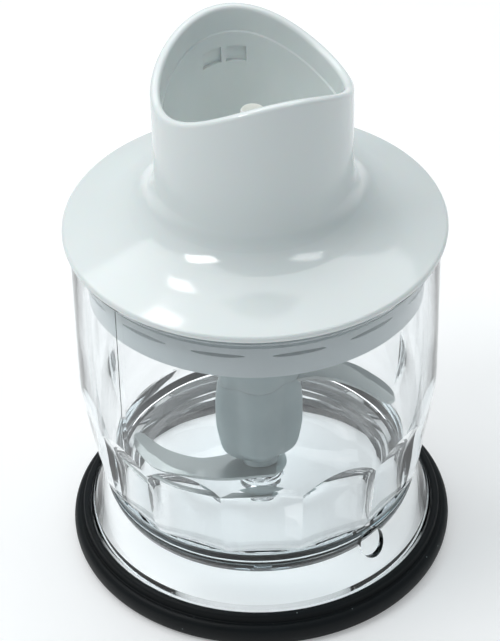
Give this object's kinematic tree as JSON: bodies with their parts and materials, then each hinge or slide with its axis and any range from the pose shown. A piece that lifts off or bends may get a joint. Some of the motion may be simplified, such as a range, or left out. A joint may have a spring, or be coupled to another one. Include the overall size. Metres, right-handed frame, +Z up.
{
  "type": "food processor",
  "caption": "Mini chopper attachment for a hand blender: clear faceted bowl in a rubber ring, stacked blades on a pin, white geared lid with a drive tower.",
  "frame": {"origin": "on the axis of the bowl and blade, in the plane the rubber ring stands on", "axes": "+Z up along the blade's axis; -Y is the front, the side the picture is taken from; +X is to its right"},
  "size_m": [0.1052, 0.1052, 0.1532],
  "materials": {
    "lid_white": "gloss moulded white",
    "cover_white": "satin moulded pale grey",
    "clear_plastic": "polished clear moulding",
    "black_rubber": "soft satin",
    "frosted_plastic": "translucent satin",
    "blade_steel": "satin ground",
    "pin_steel": "polished",
    "acetal": "satin moulded",
    "gear_nylon": "natural satin",
    "bush_bronze": "sintered, oiled",
    "seal_rubber": "matt",
    "screw_steel": "zinc plated"
  },
  "bodies": {
    "base": {"anti_slip_ring": "black_rubber"},
    "bowl_body": {"bowl": "clear_plastic", "pivot_pin": "pin_steel"},
    "sleeve": {"bearing_sleeve": "acetal"},
    "blade": {"hub_foot": "frosted_plastic", "lower_blade": "blade_steel", "blade_hub": "frosted_plastic", "upper_blade": "blade_steel", "hub_neck": "frosted_plastic"},
    "lid": {"lid_shell": "lid_white", "gear_cover": "cover_white", "cover_screw_1": "screw_steel", "cover_screw_2": "screw_steel", "cover_screw_3": "screw_steel", "input_bush": "bush_bronze", "output_bush": "bush_bronze", "shaft_seal": "seal_rubber", "ring_gear": "gear_nylon"},
    "carrier": {"planet_carrier": "acetal", "planet_pin_1": "pin_steel", "planet_pin_2": "pin_steel", "planet_pin_3": "pin_steel", "output_coupling": "acetal"},
    "input": {"input_coupling": "acetal", "input_shaft": "pin_steel", "sun_gear": "pin_steel", "shaft_clip": "screw_steel"},
    "planet_a": {"planet_gear_1": "gear_nylon"},
    "planet_b": {"planet_gear_2": "gear_nylon"},
    "planet_c": {"planet_gear_3": "gear_nylon"}
  },
  "joints": [
    {"name": "bowl_lift", "type": "slide", "parent": "base", "child": "bowl_body", "axis": [0, 0, 1], "range_m": [0, 0.03]},
    {"name": "blade_lift", "type": "slide", "parent": "bowl_body", "child": "sleeve", "axis": [0, 0, 1], "range_m": [0, 0.09]},
    {"name": "blade_spin", "type": "hinge", "parent": "sleeve", "child": "blade", "pos_m": [0, 0, 0.05], "axis": [0, 0, 1], "continuous": true},
    {"name": "lid_lift", "type": "slide", "parent": "sleeve", "child": "lid", "axis": [0, 0, 1], "range_m": [0, 0.06]},
    {"name": "carrier_spin", "type": "hinge", "parent": "lid", "child": "carrier", "pos_m": [0, 0, 0.1], "axis": [0, 0, 1], "continuous": true},
    {"name": "input_spin", "type": "hinge", "parent": "lid", "child": "input", "pos_m": [0, 0, 0.12], "axis": [0, 0, 1], "continuous": true},
    {"name": "planet_a_spin", "type": "hinge", "parent": "carrier", "child": "planet_a", "pos_m": [0.0105, 0, 0.104], "axis": [0, 0, 1], "continuous": true},
    {"name": "planet_b_spin", "type": "hinge", "parent": "carrier", "child": "planet_b", "pos_m": [-0.00525, 0.00909, 0.104], "axis": [0, 0, 1], "continuous": true},
    {"name": "planet_c_spin", "type": "hinge", "parent": "carrier", "child": "planet_c", "pos_m": [-0.00525, -0.00909, 0.104], "axis": [0, 0, 1], "continuous": true}
  ],
  "couplings": [
    {"joint": "carrier_spin", "follows": "blade_spin", "ratio": 1},
    {"joint": "input_spin", "follows": "blade_spin", "ratio": 5},
    {"joint": "planet_a_spin", "follows": "blade_spin", "ratio": -2.6667},
    {"joint": "planet_b_spin", "follows": "blade_spin", "ratio": -2.6667},
    {"joint": "planet_c_spin", "follows": "blade_spin", "ratio": -2.6667}
  ]
}
